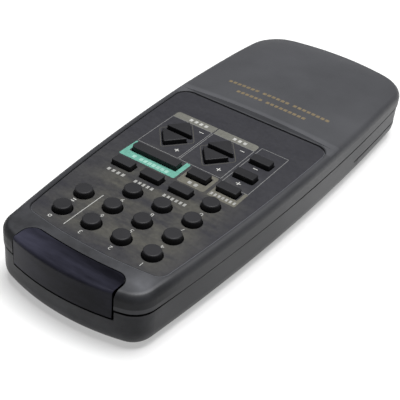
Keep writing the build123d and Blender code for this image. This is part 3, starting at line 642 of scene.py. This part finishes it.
class REMOTE_OT_case(bpy.types.Operator):
    """Moulded finish for the shells and the battery door"""
    bl_idname = "remote.case"
    bl_label = "Case finish"

    def execute(self, context):
        shell = context.scene.remote_colours.shell
        # Painted shade: the case darkens toward the nose
        shade_and_wear = ("Y", *mm(-25, 60), 1.0, 0.62)
        # Painted shade: a dark band along the joint between the shells, toward the tail and at the nose
        joint = ("Z", PARTING - 0.2, PARTING + 0.72, 0.12)
        tail_joint_shade = light_and_shade_place(0.05, ("Y", -90.0, 0.0, 40.0), joint)
        nose_joint_shade = light_and_shade_place(0.05, ("Y", 72.0, 90.0, 12.0), joint)
        # Painted shade on the side of the case at low X
        right_side_shade = light_and_shade_place(0.92, ("X", -40.0, -31.0, 1.0))
        both_shells = (right_side_shade, tail_joint_shade, nose_joint_shade)
        # Painted light on the face of the step up to the raised back
        step = light_and_shade_place(1.3, ("Y", -21.5, -16.0, 1.0), ("Z", 19.6, 22.0, 0.2))
        # Painted shade in the seam along the top of the battery door
        door_seam_shade = light_and_shade_place(0.05, ("Y", -84.0, -36.0, 0.2), ("Z", 6.85, 7.4, 0.1))
        # Painted highlight on the flat rim near the nose corner
        rubbed_and_highlight = light_and_shade_place(
            1.65, ("X", -23.5, -20.0, 5.5), ("Y", 70.0, 74.0, 4.5), ("Z", 19.85, 22.0, 0.15))
        # Painted shade on the upper shell round the nose, up to its rounded top edge
        nose_edge_shade = light_and_shade_place(0.55, ("Y", 72.0, 90.0, 9.0), ("Z", 15.5, 19.72, 0.25))
        # Painted shade on the lower shell's corner at the nose
        low_corner_shade = light_and_shade_place(
            0.6, ("X", -40.0, -24.0, 10.0), ("Y", 78.0, 90.0, 8.0), ("Z", 7.0, 12.0, 3.0))
        for node, name, light_and_shade_places in (
            ("upper_shell", "case_plastic_top", (step, rubbed_and_highlight, nose_edge_shade, *both_shells)),
            ("lower_shell", "case_plastic_bottom", (door_seam_shade, low_corner_shade, *both_shells)),
            ("battery_door", "case_plastic_door", (door_seam_shade,)),
        ):
            dress([node], case_plastic(name, shell, (shade_and_wear,), light_and_shade_places))
        return {"FINISHED"}


class REMOTE_OT_panel(bpy.types.Operator):
    """Worn satin finish for the key panel, with a painted highlight making its edge paler"""
    bl_idname = "remote.panel"
    bl_label = "Panel finish"

    def execute(self, context):
        colours = context.scene.remote_colours
        material, tree, shader, place = new_material("panel_film")
        lengthwise = times(
            tree, along(tree, place, "Y", *mm(14, 34), 0.0, 1.0),
            along(tree, place, "Y", *mm(62, 71), 1.0, 0.3))
        crosswise = times(
            tree, along(tree, place, "X", *mm(-27, -17), 0.1, 1.0),
            along(tree, place, "X", *mm(12, 24), 1.0, 0.25))
        streaks = mapped(tree, place, scale=(1.0, 2.4, 1.0), turn=0.5)
        patches = noise(tree, streaks, 60.0, 7.0, 0.66)
        shade_and_wear = times(tree, lengthwise, crosswise)
        worn = times(tree, shade_and_wear, spread(tree, patches, 0.38, 0.58, 0.08, 1.0))
        fine = noise(tree, place, 900.0, 4.0, 0.65)
        ground = ramp(tree, fine, 0.3, 0.7, scaled(colours.panel, 0.85), scaled(colours.panel, 1.15))
        olive = ramp(
            tree, fine, 0.3, 0.7, scaled(colours.panel_wear, 0.8), scaled(colours.panel_wear, 1.2))
        face = mix(tree, worn, ground, olive)
        # Painted highlight: the panel's edge is paler than its face
        edge_highlight = tree.nodes.new("ShaderNodeRGB")
        edge_highlight.outputs["Color"].default_value = (*scaled(colours.shell, 3.1), 1)
        top = panel_top()
        edge = along(tree, place, "Z", top - 0.16 * MM, top - 0.04 * MM, 0.85, 0.0)
        base = mix(tree, edge, face, edge_highlight.outputs["Color"])
        tree.links.new(base, shader.inputs["Base Color"])
        tree.links.new(spread(tree, patches, 0.3, 0.7, 0.36, 0.52), shader.inputs["Roughness"])
        shader.inputs["Specular IOR Level"].default_value = 0.3
        bump(tree, shader, noise(tree, place, 5200.0), 0.005 * MM)
        dress(["face_panel"], material)
        return {"FINISHED"}


class REMOTE_OT_keys(bpy.types.Operator):
    """Satin finish for the keys, with painted shade darkening them down their sides"""
    bl_idname = "remote.keys"
    bl_label = "Key finish"

    def execute(self, context):
        top = panel_top()
        # Painted shade: the keys darken down their sides, toward the holes in the panel
        side = ("Z", top + 1.0 * MM, top + 1.5 * MM, 0.5, 1.0)
        dress(KEY_NODES, moulded_plastic(
            "key_plastic", context.scene.remote_colours.keys, rough=0.45, grain=4200.0,
            relief=0.008 * MM, variation=0.18, gloss=0.2, shades=(side,)))
        return {"FINISHED"}


class REMOTE_OT_window(bpy.types.Operator):
    """Polished dark finish for the window, with painted shade making it black and dull along its edges
    and a painted reflection lightening it toward its +X end and its front
    """
    bl_idname = "remote.window"
    bl_label = "Window finish"

    def execute(self, context):
        window = context.scene.remote_colours.window
        shine = 0.072
        material, tree, shader, place = new_material("window_plastic")
        drawn = mapped(tree, place, scale=(0.35, 1.6, 1.0))
        haze = noise(tree, drawn, 110.0, 5.0, 0.6)
        # Painted shade: the window turns black and dull along its edges
        face = self.face(tree, place)
        tint = ramp(tree, haze, 0.36, 0.64, scaled(window, 0.65), scaled(window, 1.9))
        # Painted reflection, lightening the window toward its +X end and its front
        reflection_lift = times(
            tree, along(tree, place, "X", *mm(2, 15), 1.0, 1.6),
            along(tree, place, "Y", *mm(75, 79), 0.9, 1.5))
        base = shaded(tree, shaded(tree, tint, face), reflection_lift)
        tree.links.new(base, shader.inputs["Base Color"])
        tree.links.new(spread(tree, haze, 0.3, 0.7, 0.14, 0.24), shader.inputs["Roughness"])
        shader.inputs["Specular IOR Level"].default_value = shine
        tree.links.new(spread(tree, face, 0.0, 1.0, 0.0, shine), shader.inputs["Specular IOR Level"])
        bump(tree, shader, noise(tree, place, 900.0, 2.0), 0.002 * MM)
        dress(["ir_window"], material)
        return {"FINISHED"}

    def face(self, tree, place):
        """One on the window's face and zero at its ends, its lower edge and its curved rear edge, where
        painted shade makes the window black.
        """
        rear_radius = 137.0 * MM
        length = 9.2 * MM
        low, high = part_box("ir_window")
        side = high[0] - 0.25 * MM
        from_centre = distance(tree, place, 0.0, high[1] - length - rear_radius)
        before_rear = spread(
            tree, from_centre, rear_radius + 0.2 * MM, rear_radius + 0.35 * MM, 0.0, 1.0)
        across = ("X", -side, side, 0.1 * MM)
        upward = ("Z", low[2] + 0.7 * MM, 1.0, 0.2 * MM)
        return times(tree, before_rear, within(tree, place, (across, upward)))


# Inner plastics: name, nodes, colour, roughness, grain per metre and relief in millimetres
INNER_PLASTICS = (
    ("mat_rubber", ("keypad_mat",), (0.30, 0.30, 0.29), 0.7, 2500.0, 0.010),
    ("carbon_pad", ("contact_pads",), (0.012, 0.012, 0.012), 0.6, 4000.0, 0.004),
    ("board_laminate", ("circuit_board",), (0.28, 0.17, 0.06), 0.45, 1800.0, 0.004),
    ("component_black", ("control_chip", "transistor"), (0.012, 0.012, 0.013), 0.5, 5000.0, 0.006),
    ("ceramic_dip", ("resonator",), (0.02, 0.09, 0.32), 0.3, 1200.0, 0.006),
    ("resistor_coat", ("resistors",), (0.45, 0.33, 0.18), 0.35, 1500.0, 0.006),
)
CONTACT_NODES = (
    "chip_legs", "spring_front", "spring_rear", "contact_link", "terminal_positive", "terminal_negative",
)
# Inner metals: name, nodes, colour and roughness
INNER_METALS = (
    ("aluminium_can", ("capacitor",), (0.72, 0.72, 0.74), 0.28),
    ("contact_plating", CONTACT_NODES, (0.68, 0.67, 0.63), 0.25),
    ("screw_steel", ("case_screws",), (0.10, 0.10, 0.105), 0.32),
    ("cell_can", ("cell_front", "cell_rear"), (0.55, 0.50, 0.36), 0.3),
)


class REMOTE_OT_inside(bpy.types.Operator):
    """Finishes for everything inside the case, and for its screws"""
    bl_idname = "remote.inside"
    bl_label = "Inner finishes"

    def execute(self, context):
        for name, nodes, colour, rough, grain, relief in INNER_PLASTICS:
            dress(nodes, moulded_plastic(name, colour, rough, grain, relief * MM))
        for name, nodes, colour, rough in INNER_METALS:
            dress(nodes, metal(name, colour, rough))
        material, tree, shader, place = new_material("led_clear")
        shader.inputs["Base Color"].default_value = (0.42, 0.45, 0.62, 1)
        shader.inputs["Transmission Weight"].default_value = 0.8
        shader.inputs["IOR"].default_value = 1.53
        roughness = spread(tree, noise(tree, place, 500.0), 0.3, 0.7, 0.03, 0.10)
        tree.links.new(roughness, shader.inputs["Roughness"])
        dress(["infrared_led_left", "infrared_led_right"], material)
        return {"FINISHED"}


# Print on the key panel and the raised back, its places in millimetres, with Y toward the nose

# Middles of the signs
PLUS_PLACES = ((-16.5, 17.0), (-7.6, 14.75), (8.8, 14.65))
MINUS_PLACES = ((-16.4, 6.8), (-7.8, 1.1), (8.6, 0.85))

# Rectangles, each a range of X and a range of Y
RING = ((16.5, 17.7), (65.9, 67.1))
DASHES = (((16.1, 17.3), (55.75, 56.1)), ((16.1, 17.3), (56.7, 57.05)))
DIVIDER = ((11.28, 11.56), (48.8, 67.0))
GREEN_BAND = ((0.45, 22.1), (24.7, 28.05))
SOURCE_BAND = ((-10.8, -0.5), (18.9, 28.1))
PICTURE_BAND = ((-22.2, -12.0), (24.9, 28.2))
VOLUME_X = (-10.9, 5.35)
PROGRAMME_X = (5.75, 22.0)
HEADER_Y = (-5.1, -1.6)
ARROW_Y = (HEADER_Y[1], 18.4)
PICTURE_BOX = ((-22.15, -11.75), (-4.85, 20.2))
GROUP_BOXES = ((VOLUME_X, ARROW_Y), (PROGRAMME_X, ARROW_Y), PICTURE_BOX)

# Rows of blocks: X from and to, Y, and the blocks in each group
PANEL_ROWS = (
    (-10.5, -2.1, 37.0, (6,)), (1.75, 8.85, 37.0, (5,)), (12.8, 19.4, 37.0, (4,)),
    (-7.5, -4.0, 26.5, (2,)), (-21.6, -12.5, 26.6, (7,)),
)
HEADER_ROWS = ((-6.7, -1.5, -3.3, (3,)), (8.9, 16.1, -3.3, (4,)))
GREEN_ROWS = ((3.6, 17.6, 26.55, (7, 1)),)
GOLD_ROWS = ((-21.4, 19.7, -33.15, (8, 6, 7)), (-14.4, 13.5, -28.55, (9, 6)))


class REMOTE_OT_digits(bpy.types.Operator):
    """Digits, plus and minus, and a ring, two dashes and a divider beside the keys"""
    bl_idname = "remote.digits"
    bl_label = "Digits and signs"

    def execute(self, context):
        sizes = context.scene.remote_print
        ink = sizes.ink
        z = panel_top()
        white_ink = context.scene.remote_colours.white_ink
        white = printed("white_ink", white_ink)
        dull = printed("dull_ink", scaled(white_ink, 0.75))
        digits = []
        for digit in "0123456789":
            x, y = key_middle("key_" + digit)
            digits.append(glyph("digit", digit, sizes.digit, x, y + sizes.digit_offset, z, ink))
        finish_print(joined("panel_digits", digits), dull)
        finish_print(self.signs(sizes, z, ink), white)
        marks = [outline("ring", *corners(*RING), z, ink, width=0.25 * MM, radius=0.5 * MM)]
        for dash in DASHES:
            marks.append(band("dash", *corners(*dash), z, ink, radius=0.1 * MM))
        finish_print(joined("panel_marks", marks), white)
        divider = band("panel_divider", *corners(*DIVIDER), z, ink, radius=0.1 * MM)
        finish_print(divider, dull)
        return {"FINISHED"}

    def signs(self, sizes, z, ink):
        """Every plus and minus, each kind drawn once and copied."""
        plus = plus_sign("plus", sizes.sign, sizes.stroke, z, ink)
        half = (sizes.sign / 2, sizes.stroke / 2)
        minus = band("minus", (-half[0], -half[1]), half, z, ink, radius=0.05 * MM)
        signs = []
        for sign, places in ((plus, PLUS_PLACES), (minus, MINUS_PLACES)):
            for x, y in places:
                signs.append(copy_to(sign, mm(x, y, 0), "sign"))
            bpy.data.objects.remove(sign)
        return joined("panel_signs", signs)


class REMOTE_OT_frames(bpy.types.Operator):
    """Printed frames, bands, lines and blocks round the key groups"""
    bl_idname = "remote.frames"
    bl_label = "Frames and bands"

    def execute(self, context):
        sizes = context.scene.remote_print
        colours = context.scene.remote_colours
        ink = sizes.ink
        z = panel_top()
        tan = printed("tan_ink", colours.tan_ink)
        mark = printed("green_mark", colours.green_mark)
        pale = printed("pale_ink", scaled(colours.white_ink, 0.6))
        white = printed("band_ink", scaled(colours.white_ink, 0.85))
        finish_print(self.green_frame(z, ink), printed("green_ink", colours.green_ink))
        finish_print(self.blocks("green_blocks", GREEN_ROWS, z, ink, 1.5 * MM, gap=0.3), mark)
        finish_print(self.header_bands(z, ink), printed("grey_ink", colours.grey_ink))
        finish_print(self.group_lines(z, ink, sizes.line), printed("line_ink", colours.line_ink))
        finish_print(self.source_frame(z, ink), tan)
        finish_print(self.picture_frame(z, ink), tan)
        finish_print(self.blocks("panel_blocks", PANEL_ROWS, z, ink, sizes.block, gap=0.8), pale)
        finish_print(self.blocks("band_blocks", HEADER_ROWS, z, ink, sizes.block, gap=0.8), white)
        return {"FINISHED"}

    def blocks(self, name, rows, z, ink, height, gap):
        """Rows of small blocks, as high above the panel as print on a band is."""
        piece = block_rows(name, rows, z + ink, height, gap, space=1.2)
        raise_ink(piece, ink)
        return piece

    def green_frame(self, z, ink):
        """A band in front of the wide key, with a blunt arm and a pointed arm along its ends."""
        low, high = corners(*GREEN_BAND)
        blunt_x, pointed_x = mm(2.1, 20.4)
        blunt_reach, pointed_reach, pointed_lean = mm(6.2, 5.9, 0.35)
        tip_share = 0.35
        piece = cut_band("green_frame", low, high, z, (blunt_x, pointed_x))
        pick(piece, "EDGE", lambda point: point.y < low[1] + NEAR and point.x < blunt_x)
        pull(0.0, -blunt_reach)
        pick(piece, "EDGE", lambda point: point.y < low[1] + NEAR and point.x > pointed_x)
        pull(pointed_lean, -pointed_reach)
        bpy.ops.transform.resize(value=(tip_share, 1, 1))
        blunt_end = low[1] - blunt_reach
        round_corners(piece, radius=0.6 * MM, steps=3, test=lambda point: (
            point.y < blunt_end + NEAR and point.x < low[0] + NEAR))
        round_corners(piece, radius=0.5 * MM, steps=4, test=lambda point: (
            point.y > high[1] - NEAR and not low[0] + NEAR < point.x < high[0] - NEAR))
        thicken(ink)
        return piece

    def header_bands(self, z, ink):
        """The grey bands of the volume and programme keys, each with one rounded outer corner."""
        bands = []
        for x_range, outer in ((VOLUME_X, VOLUME_X[0]), (PROGRAMME_X, PROGRAMME_X[1])):
            corner = Vector((*mm(outer, HEADER_Y[0]), z))
            bands.append(flat_band(
                "band", *corners(x_range, HEADER_Y), z, radius=1.2 * MM,
                test=lambda point: (point - corner).length < NEAR))
            thicken(ink)
        return joined("header_bands", bands)

    def group_lines(self, z, ink, width):
        """Thin lines round the volume, programme and picture keys."""
        boxes = []
        for box in GROUP_BOXES:
            boxes.append(outline("box", *corners(*box), z, ink, width, radius=0.4 * MM))
        return joined("group_lines", boxes)

    def source_frame(self, z, ink):
        """A band all round the source key, open where the key comes through."""
        half = mm(4.1, 2.25)
        x, y = key_middle("key_source")
        piece = flat_band("source_frame", *corners(*SOURCE_BAND), z, radius=0.9 * MM)
        for side in (-1, 1):
            cut((x + side * half[0], y, z), (1, 0, 0))
            cut((x, y + side * half[1], z), (0, 1, 0))
        pick(piece, "FACE", lambda point: abs(point.x - x) < half[0] and abs(point.y - y) < half[1])
        bpy.ops.mesh.delete(type="FACE")
        thicken(ink)
        return piece

    def picture_frame(self, z, ink):
        """A band in front of the picture key, with an arm along each of its ends."""
        low, high = corners(*PICTURE_BAND)
        inner = mm(-21.0, -13.1)
        reach = 4.7 * MM
        piece = cut_band("picture_frame", low, high, z, inner)
        pick(piece, "EDGE", lambda point: (
            point.y < low[1] + NEAR and not inner[0] < point.x < inner[1]))
        pull(0.0, -reach)
        thicken(ink)
        return piece


class REMOTE_OT_arrow_frames(bpy.types.Operator):
    """A fine printed diamond round each pair of arrow keys"""
    bl_idname = "remote.arrow_frames"
    bl_label = "Arrow frames"

    def execute(self, context):
        sizes = context.scene.remote_print
        half = mm(7.2, 9.1)
        deselect()
        bpy.ops.mesh.primitive_circle_add(
            vertices=4, radius=1.0, fill_type="NGON", location=(0, 0, panel_top()))
        first = context.object
        first.scale = (half[0], half[1], 1.0)
        settle(first)
        bpy.ops.object.mode_set(mode="EDIT")
        round_corners(first, radius=1.1 * MM, steps=4)
        hollow(sizes.line)
        thicken(sizes.ink)
        diamonds = []
        for pair in ("key_volume", "key_programme"):
            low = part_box(pair + "_down")[0]
            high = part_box(pair + "_up")[1]
            place = ((low[0] + high[0]) / 2, (low[1] + high[1]) / 2, 0)
            diamonds.append(copy_to(first, place, "diamond"))
        bpy.data.objects.remove(first)
        tan = printed("diamond_ink", scaled(context.scene.remote_colours.tan_ink, 0.6))
        finish_print(joined("arrow_frames", diamonds), tan)
        return {"FINISHED"}


class REMOTE_OT_back_rows(bpy.types.Operator):
    """Two rows of small gold blocks on the raised back"""
    bl_idname = "remote.back_rows"
    bl_label = "Gold rows"

    def execute(self, context):
        sizes = context.scene.remote_print
        above = CAD_BOX[1][2] + 1.0 * MM
        piece = block_rows("back_rows", GOLD_ROWS, above, sizes.block, gap=0.35, space=1.3)
        lay_on(piece, "upper_shell")
        raise_ink(piece, sizes.ink)
        gold = printed("gold_ink", context.scene.remote_colours.gold_ink)
        finish_print(piece, gold)
        return {"FINISHED"}


# The stage

def table_white(bounce, evenness):
    """White table, seen nearly evenly lit so that only a soft shadow is left on it."""
    seen_white = (0.86, 0.86, 0.86)
    shadow_fade = (0.35, 1.0)  # metres from the middle
    material, tree, shader, place = new_material("table_white")
    shader.inputs["Roughness"].default_value = 0.9
    shader.inputs["Specular IOR Level"].default_value = 0.0
    output = next(node for node in tree.nodes if node.type == "OUTPUT_MATERIAL")
    paper = tree.nodes.new("ShaderNodeEmission")
    paper.inputs["Strength"].default_value = 1.0
    rays = tree.nodes.new("ShaderNodeLightPath")
    seen = tree.nodes.new("ShaderNodeMath")
    seen.operation = "MAXIMUM"
    tree.links.new(rays.outputs["Is Camera Ray"], seen.inputs[0])
    tree.links.new(rays.outputs["Is Glossy Ray"], seen.inputs[1])
    base = ramp(tree, seen.outputs["Value"], 0.0, 1.0, (bounce, bounce, bounce), seen_white)
    tree.links.new(base, shader.inputs["Base Color"])
    far = spread(tree, distance(tree, place, 0.0, 0.0), *shadow_fade, evenness, 1.0)
    share = times(tree, seen.outputs["Value"], far)
    both = tree.nodes.new("ShaderNodeMixShader")
    tree.links.new(share, both.inputs["Fac"])
    tree.links.new(shader.outputs["BSDF"], both.inputs[1])
    tree.links.new(paper.outputs["Emission"], both.inputs[2])
    tree.links.new(both.outputs["Shader"], output.inputs["Surface"])
    return material


class REMOTE_OT_stage(bpy.types.Operator):
    """White table, even surroundings, one large soft lamp and the camera"""
    bl_idname = "remote.stage"
    bl_label = "Stage"

    def execute(self, context):
        scene = context.scene
        studio = scene.remote_studio
        scene.view_settings.view_transform = "Standard"
        self.set_table(studio)
        self.set_light(scene, studio)
        self.set_camera(scene, studio)
        return {"FINISHED"}

    def set_table(self, studio):
        """A table whose edges are pulled up into a rim, so that it fills the view when seen low."""
        deselect()
        bpy.ops.mesh.primitive_plane_add(size=studio.table_size, location=(0, 0, 0))
        table = bpy.context.object
        table.name = "table"
        settle(table)
        bpy.ops.object.mode_set(mode="EDIT")
        bpy.ops.mesh.select_all(action="SELECT")
        pull(0.0, 0.0, studio.table_rim)
        bpy.ops.mesh.delete(type="FACE")
        bpy.ops.object.mode_set(mode="OBJECT")
        table.data.materials.append(table_white(studio.bounce, studio.evenness))

    def set_light(self, scene, studio):
        """Dim even surroundings, and the lamp turned toward the object."""
        world = bpy.data.worlds.new("studio_white")
        scene.world = world
        world.use_nodes = True
        surroundings = world.node_tree.nodes["Background"]
        surroundings.inputs["Color"].default_value = (1, 1, 1, 1)
        surroundings.inputs["Strength"].default_value = studio.fill
        data = bpy.data.lights.new("lamp", "AREA")
        data.size = studio.lamp_size
        data.energy = studio.lamp_power
        lamp = bpy.data.objects.new("lamp", data)
        scene.collection.objects.link(lamp)
        lamp.location = studio.lamp
        lamp.rotation_euler = (-Vector(studio.lamp)).to_track_quat("-Z", "Y").to_euler()

    def set_camera(self, scene, studio):
        """The camera at the photograph's place and angles."""
        azimuth, elevation, roll = studio.azimuth, studio.elevation, studio.roll
        back = Vector((
            math.sin(azimuth) * math.cos(elevation), -math.cos(azimuth) * math.cos(elevation),
            math.sin(elevation)))
        side = (-back).cross(Vector((0, 0, 1))).normalized()
        up = side.cross(-back)
        right = math.cos(roll) * side + math.sin(roll) * up
        above = -math.sin(roll) * side + math.cos(roll) * up
        turn = Matrix((right, above, back)).transposed().to_4x4()
        data = bpy.data.cameras.new("camera")
        data.sensor_width = 36.0
        data.lens = studio.lens
        data.clip_start = 0.01
        camera = bpy.data.objects.new("camera", data)
        scene.collection.objects.link(camera)
        camera.matrix_world = Matrix.Translation(Vector(studio.camera)) @ turn
        scene.camera = camera


# Registration

class REMOTE_PT_finish(bpy.types.Panel):
    bl_idname = "REMOTE_PT_finish"
    bl_label = "Remote control"
    bl_space_type = "VIEW_3D"
    bl_region_type = "UI"
    bl_category = "Remote"

    def draw(self, context):
        for operator in STEPS:
            self.layout.operator(operator.bl_idname)


STEPS = (
    REMOTE_OT_case, REMOTE_OT_panel, REMOTE_OT_keys, REMOTE_OT_window, REMOTE_OT_inside,
    REMOTE_OT_digits, REMOTE_OT_frames, REMOTE_OT_arrow_frames, REMOTE_OT_back_rows, REMOTE_OT_stage,
)
CLASSES = (RemoteColours, RemotePrint, RemoteStudio, *STEPS, REMOTE_PT_finish)


def register():
    for cls in CLASSES:
        bpy.utils.register_class(cls)
    bpy.types.Scene.remote_colours = bpy.props.PointerProperty(type=RemoteColours)
    bpy.types.Scene.remote_print = bpy.props.PointerProperty(type=RemotePrint)
    bpy.types.Scene.remote_studio = bpy.props.PointerProperty(type=RemoteStudio)


def unregister():
    del bpy.types.Scene.remote_studio
    del bpy.types.Scene.remote_print
    del bpy.types.Scene.remote_colours
    for cls in reversed(CLASSES):
        bpy.utils.unregister_class(cls)


def main():
    """Builds everything in order."""
    register()
    for step in STEPS:
        getattr(bpy.ops.remote, step.bl_idname.split(".")[1])()


if __name__ == "__main__":
    main()
